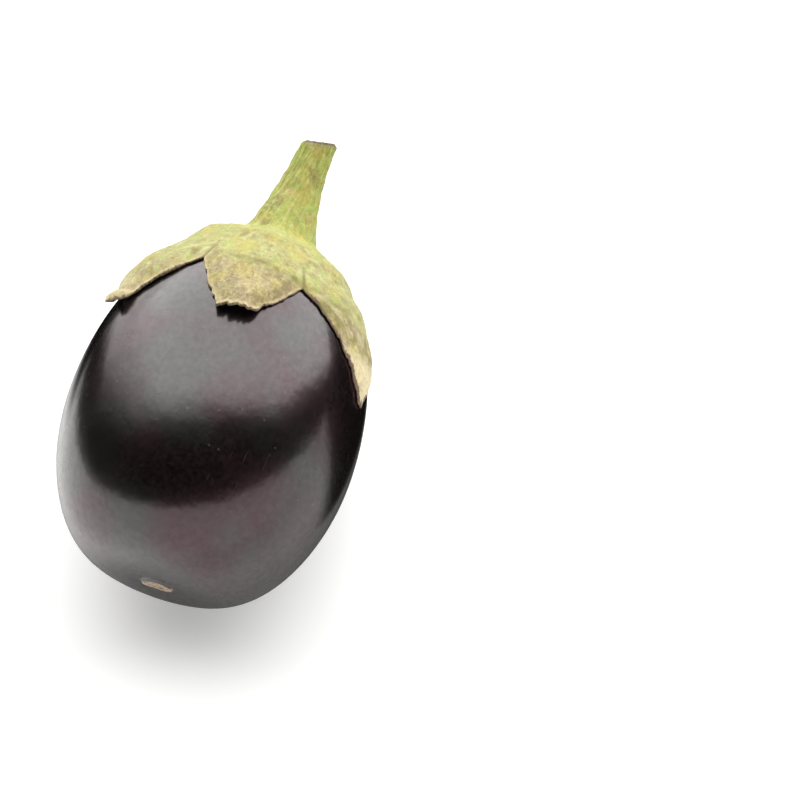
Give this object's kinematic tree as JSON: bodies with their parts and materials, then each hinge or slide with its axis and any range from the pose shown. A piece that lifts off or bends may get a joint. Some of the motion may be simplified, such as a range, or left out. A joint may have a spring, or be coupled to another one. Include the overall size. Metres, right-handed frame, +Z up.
{
  "type": "baby eggplant",
  "caption": "Small oval eggplant with glossy dark skin, a leafy green calyx hugging its stem end and a short cut stem, lying on its side on a small flat spot.",
  "frame": {"origin": "on the floor, under the middle of the eggplant's bounding box", "axes": "+X is the way the stem points, seen from above; +Z is up; the fruit lies on its side with its stem end raised 8 degrees"},
  "size_m": [0.0952, 0.0558, 0.058],
  "materials": {
    "skin": "glossy waxy eggplant skin, purple-black, with a small corky blossom scar",
    "calyx": "matte fleshy green calyx and woody stem, yellow-green with tan scuffs and a brown cut face"
  },
  "bodies": {
    "root": {"fruit": "skin", "calyx_and_stem": "calyx"}
  },
  "joints": []
}
